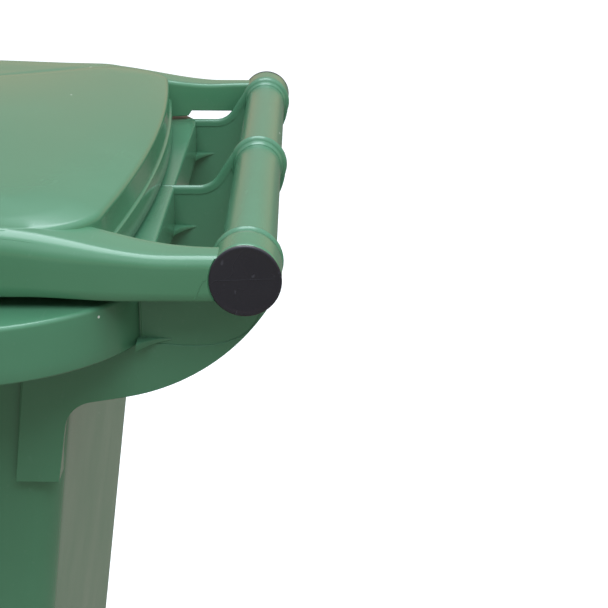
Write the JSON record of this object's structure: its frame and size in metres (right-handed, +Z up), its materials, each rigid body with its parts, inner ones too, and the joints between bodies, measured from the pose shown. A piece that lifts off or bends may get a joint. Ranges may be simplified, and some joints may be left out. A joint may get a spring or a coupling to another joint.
{
  "type": "wheelie bin",
  "caption": "Two-wheeled refuse bin with a domed hinged lid, a rimmed tapering tub, a tube handle held by gussets and rubber-tyred wheels on a steel axle.",
  "frame": {"origin": "centre of the footprint on the ground", "axes": "+Z up, -Y to the front of the bin, +Y to its handle and wheels, X along the handle and the axle"},
  "size_m": [0.58, 0.74, 1.062],
  "materials": {
    "body_green": "satin",
    "lid_green": "satin",
    "pin_black": "gloss",
    "wheel_black": "satin",
    "tyre_rubber": "matte",
    "buffer_rubber": "matte",
    "axle_steel": "satin",
    "latch_plastic": "satin",
    "spring_steel": "satin"
  },
  "bodies": {
    "bin": {"bin_body": "body_green", "hinge_pin_left": "pin_black", "hinge_pin_right": "pin_black", "axle": "axle_steel", "axle_spacer_left": "wheel_black", "axle_spacer_right": "wheel_black", "chip_plug": "pin_black"},
    "lid": {"lid": "lid_green", "lid_buffers": "buffer_rubber"},
    "wheel_left": {"wheel_rim_left": "wheel_black", "tyre_left": "tyre_rubber", "hub_cap_left": "wheel_black", "latch_plug_left": "wheel_black", "latch_spring_left": "spring_steel"},
    "latch_left": {"latch_pin_left": "latch_plastic"},
    "wheel_right": {"wheel_rim_right": "wheel_black", "tyre_right": "tyre_rubber", "hub_cap_right": "wheel_black", "latch_plug_right": "wheel_black", "latch_spring_right": "spring_steel"},
    "latch_right": {"latch_pin_right": "latch_plastic"}
  },
  "joints": [
    {"name": "lid_hinge", "type": "hinge", "parent": "bin", "child": "lid", "pos_m": [0, 0.351, 1.02], "axis": [-1, 0, 0], "range_deg": [0, 270]},
    {"name": "wheel_left_spin", "type": "hinge", "parent": "bin", "child": "wheel_left", "pos_m": [0, 0.19588, 0.1], "axis": [1, 0, 0], "continuous": true},
    {"name": "latch_left_slide", "type": "slide", "parent": "wheel_left", "child": "latch_left", "axis": [0, 0, 1], "range_m": [0, 0.0029], "stiffness_N_per_m": 400, "springref_m": -0.004, "deforming": ["latch_spring_left"]},
    {"name": "wheel_right_spin", "type": "hinge", "parent": "bin", "child": "wheel_right", "pos_m": [0, 0.19588, 0.1], "axis": [1, 0, 0], "continuous": true},
    {"name": "latch_right_slide", "type": "slide", "parent": "wheel_right", "child": "latch_right", "axis": [0, 0, 1], "range_m": [0, 0.0029], "stiffness_N_per_m": 400, "springref_m": -0.004, "deforming": ["latch_spring_right"]}
  ]
}
